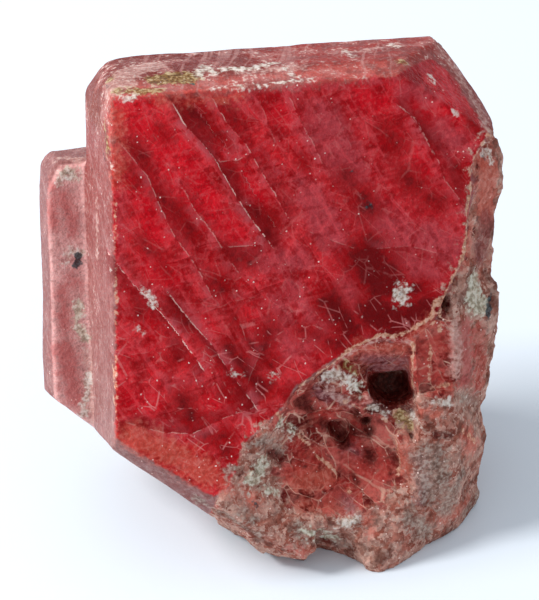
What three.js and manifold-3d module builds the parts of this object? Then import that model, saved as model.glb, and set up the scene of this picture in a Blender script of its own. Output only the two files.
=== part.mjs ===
// A piece of rough rhodonite: a flat red crystal, a thinner crystal grown on parallel behind its left
// edge, and rough pinkish matrix down the right side and across the foot. It all grew together, so it
// is one closed solid. It stands on its lower end and leans back a little. Millimetres, +Z up, the
// broad front face looks towards -Y.
//
// The shapes are written in the crystal's own axes: u runs to the right along the front face, v runs up
// it, and w stands out of it. The front face is w = 0 and its foot is v = 0.

import * as THREE from 'three';
import { ConvexGeometry } from 'three/addons/geometries/ConvexGeometry.js';
import { mergeVertices } from 'three/addons/utils/BufferGeometryUtils.js';
import Module from 'manifold-3d';

// How the stone stands
const LEAN_DEG = 20;          // the front face leans back by this much
const FLOOR = -1.75;          // height of the flat resting face below the crystal's origin
const CENTRE_X = 3.78;        // from the crystal's origin to the middle of the stone's box
const CENTRE_Y = 10.42;

// The main crystal, a tablet between two parallel faces
const TABLET_THICK = 9.0;
const TABLET_MIDDLE = [4, 18, -4.5];
const TABLET_OUTLINE = [
  [-6.5, 36.9], [-7.9, 36.5], [-8.3, 34.4], [-8.6, 31.0], [-9.0, 26.8], [-9.6, 19.4], [-10.15, 11.9],
  [-10.6, 8.0], [4.0, -4.0], [8.6, -4.0], [10.5, 1.0], [12.5, 5.0], [14.2, 9.0], [15.3, 12.0],
  [15.3, 15.5], [14.2, 17.3], [15.2, 18.9], [16.3, 20.8], [16.9, 24.1], [17.3, 25.5], [17.3, 27.0],
  [18.0, 28.5], [19.2, 29.0], [19.6, 29.8], [19.35, 31.0], [18.6, 32.8], [17.9, 34.2], [17.3, 34.95],
];

// The second crystal, behind and to the left, parallel to the first
const SECOND_FRONT = -8.5;
const SECOND_THICK = 4.0;
const SECOND_MIDDLE = [-6, 18, -10.5];
const SECOND_OUTLINE = [
  [-8.0, 29.7], [-10.6, 29.75], [-11.35, 28.9], [-11.7, 27.4], [-11.95, 24.6], [-12.4, 19.2],
  [-12.95, 14.6], [-13.1, 12.0], [-12.5, 2.0], [6.5, 2.0], [7.2, 14.0], [6.2, 22.0], [7.0, 28.8],
];

// The cleavage plane that ends both crystals at the lower left, by three points on it, and the worn
// bevel between it and the front face
const CLEAVAGE = [[-9.89, 10.04, -1.4], [-3.26, 3.59, -1.4], [-12.9, 11.8, -12.0]];
const LOWER_BEVEL = [[-10.03, 11.46, 0], [-1.16, 3.49, 0], [-7.78, 8.01, -1.3]];

// Narrow facets on the corners and edges, each as three points on the facet
const FACETS = {
  upperRight: [[12.3, 34.95, 0], [18.75, 29.5, 0], [16.2, 34.76, -5.3]],
  topEdge: [[-8.0, 36.25, 0], [12.5, 34.85, 0], [2.0, 36.1, -2.6]],
  upperLeft: [[-6.5, 36.85, -9], [-7.8, 35.3, -9], [-8.1, 36.3, -2.5]],
  leftEdge: [[-8.15, 34.0, 0], [-10.1, 12.0, 0], [-8.5, 33.0, -1.1]],
  backTop: [[0, 35.8, -9], [10, 35.0, -9], [5, 36.4, -8.3]],
  backLeft: [[-8.2, 30.0, -9], [-9.2, 14.0, -9], [-9.5, 20.0, -8.2]],
};
const SECOND_FACETS = {
  top: [[-11, 29.4, -8.5], [-8, 29.3, -8.5], [-9, 29.9, -9.6]],
  left: [[-11.75, 26.0, -8.5], [-12.6, 15.0, -8.5], [-12.3, 21.0, -9.3]],
  corner: [[-10.5, 29.4, -8.5], [-11.5, 27.9, -8.5], [-11.3, 29.4, -10.2]],
  backLeft: [[-11.6, 25.0, -12.5], [-12.4, 15.0, -12.5], [-12.3, 20.0, -11.9]],
  backTop: [[-9, 29.3, -12.5], [4, 28.4, -12.5], [0, 29.5, -11.8]],
};

// Low ledges where the front face has parted along its cleavage. Each ledge runs from its first point
// to its second, is deepest there, and comes back to the face at its other points.
const LEDGES = [
  { depth: 0.3, line: [[-4.0, 35.9], [3.2, 22.8]], far: [[4.6, 25.2], [0.6, 35.4]] },
  { depth: 0.28, line: [[-8.8, 24.7], [-4.0, 16.9]], far: [[-5.6, 15.4], [-9.7, 19.6]] },
  { depth: 0.3, line: [[-5.6, 21.9], [0.2, 12.1]], far: [[2.4, 13.4], [-3.0, 22.6]] },
  { depth: 0.22, line: [[-10.0, 13.0], [0.4, 11.9]], far: [[-1.6, 8.8], [-9.6, 11.2]] },
  { depth: 0.35, line: [[12.0, 33.2], [15.6, 28.2]], far: [[18.6, 29.4], [14.6, 34.0]] },
  { depth: 0.3, line: [[15.3, 28.9], [16.7, 23.2]], far: [[17.6, 25.0], [17.8, 29.0]] },
];

// The broken lower right of the front face, as hollows taken out of it. Each has a ring of points on
// the face and a ring of points on its floor, with their depth below the face.
const HOLLOWS = [
  {
    name: 'ridge slope', rough: 0.06,
    mouth: [[6.3, 14.7], [8.5, 15.95], [10.0, 16.3], [11.95, 15.1], [12.1, 11.5], [8.0, 11.5]],
    floor: [[8.2, 14.2, 0.55], [11.7, 14.4, 0.6], [11.7, 12.0, 0.8], [8.3, 12.0, 0.9]],
  },
  {
    name: 'cavity wall', rough: 0.1,
    mouth: [[8.0, 14.3], [9.3, 14.8], [11.8, 14.9], [12.0, 11.0], [8.3, 11.4]],
    floor: [[9.0, 12.6, 1.9], [11.85, 12.5, 2.1], [11.8, 11.4, 2.4], [9.2, 11.6, 2.2]],
  },
  {
    name: 'cavity', rough: 0.12,
    mouth: [[8.4, 12.8], [12.0, 12.7], [12.05, 10.6], [11.2, 10.0], [9.6, 10.1], [8.5, 11.3]],
    floor: [[9.4, 11.9, 3.6], [11.9, 11.9, 4.0], [11.9, 10.5, 4.3], [10.9, 10.1, 4.1], [9.6, 10.9, 3.7]],
  },
  {
    name: 'under the ridge', rough: 0.12,
    mouth: [[3.1, 13.3], [5.2, 14.5], [7.0, 15.1], [8.4, 11.6], [7.8, 10.0], [4.0, 10.2], [2.1, 11.9]],
    floor: [[4.2, 12.5, 1.0], [6.8, 13.8, 1.1], [7.7, 11.4, 1.4], [6.9, 10.5, 1.6], [4.5, 10.7, 1.7],
      [3.0, 11.7, 1.1]],
  },
  {
    name: 'facets, right', rough: 0.12,
    mouth: [[8.0, 11.3], [12.1, 10.9], [12.2, 5.4], [10.6, 3.4], [7.0, 3.4], [6.6, 8.0]],
    floor: [[8.6, 10.2, 1.4], [11.9, 10.0, 0.9], [12.0, 5.7, 0.8], [10.3, 4.2, 0.8], [7.6, 4.4, 1.5],
      [7.4, 8.0, 2.1]],
  },
  {
    name: 'facets, left', rough: 0.14,
    mouth: [[2.0, 11.7], [8.0, 11.0], [8.6, 4.0], [6.2, 2.3], [1.3, 3.5], [-1.0, 6.0], [0.3, 9.3]],
    floor: [[3.0, 10.3, 1.4], [7.6, 9.9, 2.4], [7.6, 4.9, 1.7], [5.6, 3.3, 1.3], [1.9, 4.4, 0.8],
      [0.2, 6.2, 0.5], [1.1, 8.9, 0.8]],
  },
  {
    name: 'left pit', rough: 0.1,
    mouth: [[5.1, 9.9], [7.3, 10.3], [8.1, 8.2], [6.4, 6.8], [5.1, 7.9]],
    floor: [[6.0, 9.0, 3.5], [7.2, 8.7, 3.7], [6.8, 7.7, 3.5]],
  },
  {
    name: 'right pit', rough: 0.1,
    mouth: [[7.5, 9.9], [9.5, 9.7], [9.6, 8.2], [8.1, 7.5]],
    floor: [[8.2, 9.1, 3.2], [8.9, 9.0, 3.3], [8.6, 8.2, 3.1]],
  },
  {
    name: 'red flat', rough: 0,
    mouth: [[12.15, 15.2], [13.0, 16.0], [14.3, 17.2], [16.0, 15.0], [15.6, 11.0], [12.15, 11.0]],
    floor: [[12.2, 15.0, 0.5], [14.0, 16.6, 0.45], [15.8, 14.6, 0.3], [15.4, 11.0, 0.6], [12.2, 11.0, 0.65]],
  },
];

// Cleavage plates and grains that still stand in the broken part. Each is the hull of its top corners
// and of the same corners carried down by the depth.
const STANDING = [
  {
    name: 'upright plate', depth: 2.0,
    top: [[10.35, 8.2, -0.5], [11.1, 8.3, -0.5], [11.35, 6.8, -0.35], [11.1, 5.0, -0.45], [10.4, 4.7, -0.6]],
  },
  {
    name: 'red facet', depth: 1.6,
    top: [[8.2, 8.4, -2.4], [9.2, 8.9, -1.9], [10.15, 8.05, -1.0], [10.2, 6.3, -1.2], [8.9, 6.0, -1.6],
      [8.3, 7.0, -2.0]],
  },
  {
    name: 'left facet', depth: 1.4,
    top: [[2.0, 6.9, -0.9], [3.4, 7.6, -1.3], [5.6, 6.9, -1.5], [5.9, 5.2, -1.2], [4.4, 4.2, -0.8],
      [2.2, 4.9, -0.5]],
  },
  {
    name: 'slab', depth: 1.5,
    top: [[2.3, 9.8, -0.9], [3.6, 10.4, -1.3], [5.4, 8.6, -1.9], [4.9, 7.6, -1.6], [2.4, 8.3, -0.8]],
  },
  {
    name: 'lower slab', depth: 1.5,
    top: [[6.0, 6.0, -1.9], [7.9, 6.1, -1.6], [9.9, 5.2, -1.0], [9.3, 3.6, -0.7], [7.4, 3.1, -0.8],
      [6.2, 3.8, -1.2]],
  },
  {
    name: 'pale grain', depth: 1.5,
    top: [[5.0, 13.3, -0.7], [6.9, 14.1, -0.5], [8.0, 12.7, -0.7], [6.6, 11.9, -0.2], [5.3, 12.3, -0.5]],
  },
  {
    name: 'mauve grain', depth: 1.4,
    top: [[4.5, 12.6, -0.9], [6.0, 12.9, -0.7], [7.7, 12.0, -0.8], [8.0, 11.0, -1.0], [7.1, 10.3, -1.2],
      [5.9, 10.3, -1.3], [4.9, 11.2, -1.1]],
  },
];

// Matrix: rough lumps, each a hull of a few points that is roughened before it is joined on
const LUMPS = [
  {
    name: 'right strip, top', rough: 0.2,
    points: [[17.0, 28.8, -0.9], [19.6, 28.8, -2.8], [20.4, 28.0, -3.4], [20.6, 26.8, -3.6],
      [20.5, 24.0, -3.6], [19.7, 22.4, -3.4], [16.5, 22.6, -0.6], [17.0, 25.6, -0.6], [16, 28.2, -8],
      [19.4, 28, -8.2], [19.2, 23, -8.5], [15, 22, -9]],
  },
  {
    name: 'right strip, middle', rough: 0.2,
    points: [[16.6, 24.2, -0.7], [19.8, 23.4, -3.2], [19.5, 20.2, -3.4], [19.1, 17.9, -3.2],
      [16.0, 18.2, -0.5], [15.6, 20.6, -0.6], [15, 24, -9], [18.6, 23, -8.6], [18.0, 17.5, -9.5],
      [14, 17, -10]],
  },
  {
    name: 'right strip, lower', rough: 0.24,
    points: [[15.2, 18.6, -0.4], [19.5, 17.6, -2.8], [19.3, 15.4, -3.4], [18.9, 13.8, -3.4],
      [18.5, 11.6, -3.4], [18.2, 8.4, -3.4], [14.6, 8.5, -0.2], [15.4, 14.0, -0.4], [14, 18, -11],
      [17.6, 16.5, -10], [17.2, 8, -11], [12, 8, -12]],
  },
  {
    name: 'right corner', rough: 0.26,
    points: [[14.6, 10.5, -0.4], [18.1, 9.6, -3.2], [17.8, 6.2, -3.6], [17.4, 3.2, -3.9],
      [17.1, 0.6, -4.6], [16.4, -2.4, -5.2], [14.9, -2.8, -3.6], [12.3, -3.2, -2.2], [9.6, -3.2, -0.9],
      [11.4, 1.5, 0.0], [11.9, 8.4, -0.1], [14.6, 5.4, 0.1], [16.2, 8, -11], [15.8, -1, -11],
      [11, -1, -12], [11, 9, -12]],
  },
  {
    name: 'right foot', rough: 0.18,
    points: [[8.5, -3.2, 0.0], [7.2, -3.2, -0.8], [9.7, -3.2, -0.7], [7.4, -0.9, 0.3], [9.2, -0.7, 0.2],
      [6.4, 1.9, -0.3], [8.6, 2.8, 0.3], [12.0, 3.2, 0.2], [11.4, 0.6, -0.1], [12.0, -3, -1.9],
      [6.6, -2, -7], [12, -2, -7], [7, 3, -6]],
  },
  {
    name: 'right side, upper', rough: 0.3,
    points: [[17.6, 25.6, -5.0], [19.9, 24.6, -6.0], [19.5, 20.4, -6.4], [18.4, 17.0, -5.4],
      [18.2, 18.4, -8.8], [18.6, 24.8, -8.6], [15.0, 26.0, -7.0], [14.0, 18.0, -7.0]],
  },
  {
    name: 'right side, lower', rough: 0.3,
    points: [[17.8, 18.6, -6.4], [18.7, 14.8, -6.8], [18.3, 9.0, -6.2], [17.6, 5.4, -7.4],
      [16.8, 8.0, -12.2], [17.2, 14.6, -10.4], [13.0, 18.0, -9.0], [12.0, 5.0, -9.0]],
  },
  {
    name: 'behind the foot', rough: 0.34,
    points: [[-8.5, 14.0, -12.0], [-6.0, 4.5, -16.6], [-4.0, 2.8, -16.8], [13.0, 2.6, -17.0],
      [15.2, 1.0, -11.0], [14.8, 12.0, -13.2], [10.0, 20.5, -12.0], [1.0, 19.0, -12.6],
      [-2.0, 9.0, -17.2], [8.0, 8.6, -17.6], [10.5, 16.0, -14.4], [4.0, 0, -6], [-6.0, 16.0, -9.0],
      [13, 18, -8]],
  },
  {
    name: 'behind the right edge', rough: 0.3,
    points: [[16.2, 27.0, -8.4], [18.4, 22.0, -8.2], [17.4, 12.0, -10.6], [10.0, 15.0, -12.6],
      [9.0, 24.0, -10.6], [12.5, 29.5, -8.9], [14.6, 21.0, -11.2], [12.0, 20.0, -6.0]],
  },
];

// Lumps that hang below the cleavage plane at its lower end
const FEET = [
  {
    name: 'left foot', rough: 0.16,
    points: [[1.6, -1.9, -3.4], [2.9, -2.2, -2.7], [3.5, -1.8, -3.4], [0.9, 3.1, -0.2], [3.1, 2.9, -0.3],
      [3.4, 0.9, -1.3], [2.7, -0.5, -1.9], [1.6, -0.1, -1.9], [0.3, 1.5, -1.2], [1.2, 1, -6],
      [4.2, -1, -6]],
  },
  {
    name: 'heel', rough: 0.14,
    points: [[-3.0, 4.9, -0.8], [-3.0, 4.3, -2.4], [-2.2, 2.4, -3.0], [-0.7, 0.8, -3.4],
      [1.2, -0.6, -3.2], [-2.9, 3.2, -5.4], [-2.2, 1.4, -6.6], [1.6, -1.4, -5.0], [1.6, 1.6, -1.4],
      [2.0, 3.4, -3.0], [-2.0, 5.4, -5.0]],
  },
];

// The underside is broken back between the two feet. The tip of the main crystal is cut away there, and
// the left foot's toe is worn to a bevel.
const NOTCH = [
  [3.6, 2.3, 1], [3.6, 2.3, -0.6], [6.2, 1.5, 1], [6.2, 1.5, -0.6], [4.4, -0.8, -3.3], [6.0, -1.2, -2.1],
  [3.5, 0.4, 1], [3.6, 0.2, -1.9], [3.9, -1.1, -3.5], [6.8, -0.2, 1], [7.3, -1.3, 1], [7.0, -1.6, -0.9],
  [3.5, -5, 1], [4.4, -5, -3.3], [7.3, -5, 1], [6.0, -5, -2.1],
];
const TOE_BEVEL = [[-0.11, 0.66, -1.4], [2.92, -0.74, -1.4], [3.5, -1.86, -4.0]];
const TIP_CUT = [
  [2.0, 0.0, 1], [3.5, 0.9, 1], [3.1, -1.4, -3.4], [3.9, -0.5, -3.4], [2.0, -5, 1], [3.5, -5, 1],
  [3.4, -5, -3.4],
];

// Finish of the surface as modelled
const ROUGH_EDGE = 1.7;       // longest edge on roughened pieces
const GRAIN = 2.6;            // size of the lumps in the roughness
const FINER = 1.7;            // smaller lumps on them are finer by this, and this much lower
const SMALL_SHARE = 0.6;
const SHORT_EDGE = 0.06;      // edges shorter than this, left where pieces meet, are closed up
const BLOCK_SIZE = 120;       // the blocks that facets are cut with are larger than the stone
const MATERIAL = { color: 0xb33a45, roughness: 0.38, metalness: 0 };

const wasm = await Module();
wasm.setup();
const { Manifold, Mesh } = wasm;

// A closed three.js geometry as a solid
function solid(geometry) {
  const bare = geometry.clone();
  bare.deleteAttribute('normal');
  bare.deleteAttribute('uv');
  const merged = mergeVertices(bare, 1e-5);
  return new Manifold(new Mesh({
    numProp: 3,
    vertProperties: new Float32Array(merged.attributes.position.array),
    triVerts: new Uint32Array(merged.index.array),
  }));
}

const vector = (p) => new THREE.Vector3(...p);

// A plate of the given outline between two heights
function plate(outline, low, high) {
  const shape = new THREE.Shape(outline.map(([u, v]) => new THREE.Vector2(u, v)));
  const geometry = new THREE.ExtrudeGeometry(shape, { depth: high - low, bevelEnabled: false });
  geometry.translate(0, 0, low);
  return solid(geometry);
}

// What lies outside a plane, as one large block standing on it
function outside(point, normal) {
  const block = new THREE.BoxGeometry(BLOCK_SIZE, BLOCK_SIZE, BLOCK_SIZE);
  block.translate(0, 0, BLOCK_SIZE / 2);
  const outward = normal.clone().normalize();
  const turn = new THREE.Quaternion().setFromUnitVectors(new THREE.Vector3(0, 0, 1), outward);
  block.applyQuaternion(turn);
  block.translate(point.x, point.y, point.z);
  return solid(block);
}

// Cuts a facet through three points, on the side away from the middle of the piece
function facet(body, points, middle) {
  const [a, b, c] = points.map(vector);
  const normal = new THREE.Vector3().crossVectors(b.clone().sub(a), c.clone().sub(a)).normalize();
  if (normal.dot(vector(middle).sub(a)) > 0) normal.negate();
  return body.subtract(outside(a, normal));
}

// Repeatable noise between -1 and 1 that varies smoothly over one unit
function hash(x, y, z) {
  let h = Math.imul(x, 374761393) ^ Math.imul(y, 668265263) ^ Math.imul(z, 2147483647);
  h = Math.imul(h ^ (h >>> 13), 1274126177);
  return ((h ^ (h >>> 16)) >>> 0) / 2147483648 - 1;
}

function noise(p) {
  const [ix, iy, iz] = [p.x, p.y, p.z].map(Math.floor);
  const [fx, fy, fz] = [p.x - ix, p.y - iy, p.z - iz].map((t) => t * t * (3 - 2 * t));
  const mix = THREE.MathUtils.lerp;
  const row = (y, z) => mix(hash(ix, iy + y, iz + z), hash(ix + 1, iy + y, iz + z), fx);
  return mix(mix(row(0, 0), row(1, 0), fy), mix(row(0, 1), row(1, 1), fy), fz);
}

// Splits every edge that is longer than the limit, until none is left
function split(triangles, limit) {
  let fine = triangles;
  while (fine.some((corners) => corners.some((p, i) => p.distanceTo(corners[(i + 1) % 3]) > limit))) {
    fine = splitLong(fine, limit);
  }
  return fine;
}

// One pass: each long edge gets its middle point, and each triangle is cut to use the new points
function splitLong(triangles, limit) {
  const middle = (p, q) => (p.distanceTo(q) > limit ? p.clone().add(q).multiplyScalar(0.5) : null);
  const out = [];
  for (const corners of triangles) {
    const mids = corners.map((p, i) => middle(p, corners[(i + 1) % 3]));
    const count = mids.filter(Boolean).length;
    if (count === 0) {
      out.push(corners);
      continue;
    }
    if (count === 3) {
      const [a, b, c] = corners;
      const [ab, bc, ca] = mids;
      out.push([a, ab, ca], [ab, b, bc], [ca, bc, c], [ab, bc, ca]);
      continue;
    }
    const first = count === 1
      ? mids.findIndex(Boolean)
      : mids.findIndex((m, i) => m && mids[(i + 1) % 3]);
    const [a, b, c] = [0, 1, 2].map((i) => corners[(first + i) % 3]);
    const [ab, bc] = [mids[first], mids[(first + 1) % 3]];
    if (count === 1) out.push([a, ab, c], [ab, b, c]);
    else out.push([ab, b, bc], [a, ab, bc], [a, bc, c]);
  }
  return out;
}

// A hull of the points with its surface broken up: split fine, then pushed in and out by noise
function roughHull(points, amount) {
  const hull = new ConvexGeometry(points.map(vector));
  if (amount === 0) return solid(hull);
  const place = hull.attributes.position;
  const triangles = [];
  for (let i = 0; i < place.count; i += 3) {
    triangles.push([0, 1, 2].map((k) => new THREE.Vector3().fromBufferAttribute(place, i + k)));
  }
  const fine = split(triangles, ROUGH_EDGE);
  const geometry = new THREE.BufferGeometry().setFromPoints(fine.flat());
  const merged = mergeVertices(geometry, 1e-4);
  merged.computeVertexNormals();
  const at = merged.attributes.position;
  const out = merged.attributes.normal;
  for (let i = 0; i < at.count; i += 1) {
    const p = new THREE.Vector3().fromBufferAttribute(at, i);
    const n = new THREE.Vector3().fromBufferAttribute(out, i);
    const large = noise(p.clone().divideScalar(GRAIN));
    const small = noise(p.clone().multiplyScalar(FINER / GRAIN));
    const push = large + SMALL_SHARE * small;
    p.addScaledVector(n, amount * push);
    at.setXYZ(i, p.x, p.y, p.z);
  }
  return solid(merged);
}

// Closes up very short edges, one at a time, where that neither pinches the skin nor turns a face over
function closeShortEdges(points, triangles, limit) {
  const around = points.map(() => new Set());
  triangles.forEach((corners, t) => corners.forEach((i) => around[i].add(t)));
  const normal = (corners) => {
    const [a, b, c] = corners.map((i) => points[i]);
    return new THREE.Vector3().crossVectors(b.clone().sub(a), c.clone().sub(a));
  };
  const neighbours = (i) => new Set([...around[i]].flatMap((t) => triangles[t]).filter((j) => j !== i));
  const canClose = (from, to) => {
    const near = neighbours(to);
    if ([...neighbours(from)].filter((j) => near.has(j)).length !== 2) return false;
    return [...around[from]].every((t) => {
      if (triangles[t].includes(to)) return true;
      const before = normal(triangles[t]);
      const after = normal(triangles[t].map((i) => (i === from ? to : i)));
      return after.length() > 1e-4 && before.dot(after) > 0.6 * before.length() * after.length();
    });
  };
  const close = (from, to) => {
    for (const t of [...around[from]]) {
      if (triangles[t].includes(to)) {
        triangles[t].forEach((i) => around[i].delete(t));
        triangles[t] = null;
      } else {
        triangles[t] = triangles[t].map((i) => (i === from ? to : i));
        around[to].add(t);
      }
    }
    around[from].clear();
  };
  let closed = 1;
  while (closed > 0) {
    closed = 0;
    for (let t = 0; t < triangles.length; t += 1) {
      for (let k = 0; triangles[t] && k < 3; k += 1) {
        const [a, b] = [triangles[t][k], triangles[t][(k + 1) % 3]];
        if (points[a].distanceTo(points[b]) > limit) continue;
        if (canClose(a, b)) close(a, b);
        else if (canClose(b, a)) close(b, a);
        else continue;
        closed += 1;
      }
    }
  }
  return triangles.filter(Boolean);
}

// The triangles of the outer skin alone, without the pinholes that joined lumps can close in
function outerSkin(corners) {
  const leader = new Map();
  const find = (i) => {
    let top = i;
    while (leader.has(top)) top = leader.get(top);
    return top;
  };
  for (let i = 0; i < corners.length; i += 3) {
    for (const k of [1, 2]) {
      const [a, b] = [find(corners[i]), find(corners[i + k])];
      if (a !== b) leader.set(a, b);
    }
  }
  const skins = new Map();
  for (let i = 0; i < corners.length; i += 3) {
    const skin = find(corners[i]);
    if (!skins.has(skin)) skins.set(skin, []);
    skins.get(skin).push(corners[i], corners[i + 1], corners[i + 2]);
  }
  return [...skins.values()].sort((a, b) => b.length - a.length)[0];
}

// The main crystal with its facets
let stone = plate(TABLET_OUTLINE, -TABLET_THICK, 0);
for (const points of Object.values(FACETS)) stone = facet(stone, points, TABLET_MIDDLE);

// Ledges along the cleavage of the front face
for (const { depth, line, far } of LEDGES) {
  const wedge = [
    ...line.map(([u, v]) => [u, v, -depth]), ...far.map(([u, v]) => [u, v, 0]),
    ...[...line, ...far].map(([u, v]) => [u, v, 1]),
  ];
  stone = stone.subtract(roughHull(wedge, 0));
}

// The broken lower right of the front face
for (const { rough, mouth, floor } of HOLLOWS) {
  const ring = [...mouth.map(([u, v]) => [u, v, 1.2]), ...mouth.map(([u, v]) => [u, v, 0])];
  stone = stone.subtract(roughHull([...ring, ...floor.map(([u, v, deep]) => [u, v, -deep])], rough));
}
for (const { depth, top } of STANDING) {
  stone = stone.add(roughHull([...top, ...top.map(([u, v, w]) => [u, v, w - depth])], 0));
}

// The second crystal
let second = plate(SECOND_OUTLINE, SECOND_FRONT - SECOND_THICK, SECOND_FRONT);
for (const points of Object.values(SECOND_FACETS)) second = facet(second, points, SECOND_MIDDLE);
stone = stone.add(second);

// Matrix, the cleavage plane at the lower left, and the feet with the notch between them
stone = stone.subtract(roughHull(TIP_CUT, 0));
for (const { points, rough } of LUMPS) stone = stone.add(roughHull(points, rough));
stone = facet(stone, CLEAVAGE, TABLET_MIDDLE);
stone = facet(stone, LOWER_BEVEL, TABLET_MIDDLE);
for (const { points, rough } of FEET) stone = stone.add(roughHull(points, rough));
stone = facet(stone, TOE_BEVEL, TABLET_MIDDLE);
stone = stone.subtract(roughHull(NOTCH, 0));

// Into the upright frame, with the flat resting face at z = 0
const lean = THREE.MathUtils.degToRad(LEAN_DEG);
const up = new THREE.Vector3(0, Math.cos(lean), Math.sin(lean));
stone = stone.subtract(outside(up.clone().multiplyScalar(FLOOR), up.clone().negate()));

const cut = stone.getMesh();
const geometry = new THREE.BufferGeometry();
geometry.setAttribute('position', new THREE.BufferAttribute(new Float32Array(cut.vertProperties), 3));
const skin = outerSkin(cut.triVerts);
const corners = Array.from({ length: skin.length / 3 }, (_, t) => skin.slice(3 * t, 3 * t + 3));
const points = Array.from({ length: geometry.attributes.position.count }, (_, i) => (
  new THREE.Vector3().fromBufferAttribute(geometry.attributes.position, i)));
geometry.setIndex(closeShortEdges(points, corners, SHORT_EDGE).flat());
geometry.rotateX(Math.PI / 2 - lean);
geometry.translate(-CENTRE_X, -CENTRE_Y, -FLOOR);

const rhodonite = new THREE.Mesh(geometry, new THREE.MeshStandardMaterial(MATERIAL));
rhodonite.name = 'rhodonite';

const group = new THREE.Group();
group.add(rhodonite);
export default group;
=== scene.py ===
import math

import bpy
import numpy as np
from mathutils import Matrix, Vector
from mathutils.bvhtree import BVHTree
from mathutils.kdtree import KDTree


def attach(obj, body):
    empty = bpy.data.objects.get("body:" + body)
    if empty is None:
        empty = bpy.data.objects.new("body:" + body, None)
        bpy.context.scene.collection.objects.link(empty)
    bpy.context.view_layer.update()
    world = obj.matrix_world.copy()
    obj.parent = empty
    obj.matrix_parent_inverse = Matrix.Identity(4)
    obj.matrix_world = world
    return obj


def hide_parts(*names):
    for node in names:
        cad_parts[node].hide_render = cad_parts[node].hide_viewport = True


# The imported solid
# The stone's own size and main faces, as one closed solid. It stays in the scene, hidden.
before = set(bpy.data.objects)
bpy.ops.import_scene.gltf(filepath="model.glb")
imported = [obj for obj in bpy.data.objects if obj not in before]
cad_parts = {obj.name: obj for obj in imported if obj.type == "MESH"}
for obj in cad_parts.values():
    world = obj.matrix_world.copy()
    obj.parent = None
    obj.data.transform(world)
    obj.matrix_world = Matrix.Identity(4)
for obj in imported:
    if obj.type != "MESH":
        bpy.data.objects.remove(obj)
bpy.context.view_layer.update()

# The camera
# It looks down on the stone from the front left, as in the photograph. The photograph's own distance isn't
# known: 26 cm is assumed, and the rest is fitted to it.
PHOTO_WIDTH = 539
PHOTO_HEIGHT = 600
AZIMUTH = math.radians(-15)
ELEVATION = math.radians(38)
CAMERA_MM = 260
MM_PER_PIXEL = 0.072
AIM_MM = Vector((-0.764, 0.979, 16.842))
SENSOR_MM = 36
NEAREST_M = 0.01
FURTHEST_M = 20

camera_back = Vector((math.sin(AZIMUTH) * math.cos(ELEVATION),
                      -math.cos(AZIMUTH) * math.cos(ELEVATION),
                      math.sin(ELEVATION)))
camera_right = Vector((math.cos(AZIMUTH), math.sin(AZIMUTH), 0))
camera_up = camera_back.cross(camera_right)
camera_mm = AIM_MM + camera_back * CAMERA_MM
camera = bpy.data.objects.new("camera", bpy.data.cameras.new("camera"))
camera.data.sensor_width = SENSOR_MM
camera.data.lens = SENSOR_MM * CAMERA_MM / (MM_PER_PIXEL * PHOTO_HEIGHT)
camera.data.clip_start = NEAREST_M
camera.data.clip_end = FURTHEST_M
camera.location = camera_mm / 1000
camera.rotation_mode = "QUATERNION"
camera.rotation_quaternion = (-camera_back).to_track_quat("-Z", "Y")
bpy.context.scene.collection.objects.link(camera)
bpy.context.scene.camera = camera

# The stone
# Rough rhodonite, a manganese silicate: one flat red crystal, a thinner one grown on behind its left
# edge, and pinkish matrix down the right side and across the foot. Everything grew together, so it is
# one piece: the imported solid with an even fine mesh, given its ledges, pits and grain.
LEAN = math.radians(20)
CRYSTAL_ORIGIN_MM = np.array([-3.78, -10.42, 1.75])
MESH_MM = 0.185
KEPT_SHARE = 0.70

# The crystal's own axes in the row frame: u to the right along the front face, v up it, w out of it
crystal_axes = np.array([[1, 0, 0],
                         [0, math.sin(LEAN), math.cos(LEAN)],
                         [0, -math.cos(LEAN), math.sin(LEAN)]])


def to_crystal(points):
    return (points - CRYSTAL_ORIGIN_MM) @ crystal_axes.T


def points_of(mesh, what="co"):
    values = np.empty(len(mesh.vertices) * 3, np.float32)
    mesh.vertices.foreach_get(what, values)
    return values.reshape(-1, 3).astype(float)


def ramp(value, low, high):
    t = np.clip((value - low) / (high - low), 0, 1)
    return t * t * (3 - 2 * t)


def chance(cell, seed):
    """A fixed number from 0 to 1 for each whole-numbered cell."""
    x, y, z = (cell[..., i].astype(np.int64).astype(np.uint32) for i in range(3))
    mixed = x * np.uint32(374761393) ^ y * np.uint32(668265263) ^ z * np.uint32(2246822519)
    mixed = (mixed + np.uint32(seed * 7919)) * np.uint32(1274126177)
    mixed = (mixed ^ (mixed >> np.uint32(13))) * np.uint32(1274126177)
    return ((mixed ^ (mixed >> np.uint32(16))) & np.uint32(0xFFFFFF)) / 0xFFFFFF


def waves(points, size, seed):
    """Smooth noise from -1 to 1 with lumps about size mm across."""
    cell = np.floor(points / size).astype(np.int64)
    part = points / size - cell
    part = part * part * (3 - 2 * part)
    total = 0
    for corner in np.ndindex(2, 2, 2):
        share = np.prod(np.where(np.array(corner) == 1, part, 1 - part), 1)
        total = total + share * chance(cell + corner, seed)
    return total * 2 - 1


def grains(points, size, seed):
    """Grains about size mm across. Gives each point's distance from its grain's middle, in grain widths,
    and the height of the grain's slanted face there."""
    place = points / size
    cell = np.floor(place).astype(np.int64)
    closest = np.full(len(points), np.inf)
    slant = np.zeros(len(points))
    for step in np.ndindex(3, 3, 3):
        near = cell + step - 1
        middle = near + np.stack([chance(near, seed + k) for k in range(3)], 1)
        far = np.linalg.norm(middle - place, axis=1)
        nearer = far < closest
        tilt = np.stack([chance(near, seed + 3 + k) - 0.5 for k in range(3)], 1)
        slant = np.where(nearer, ((place - middle) * tilt).sum(1), slant)
        closest = np.minimum(closest, far)
    return closest, slant


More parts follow.
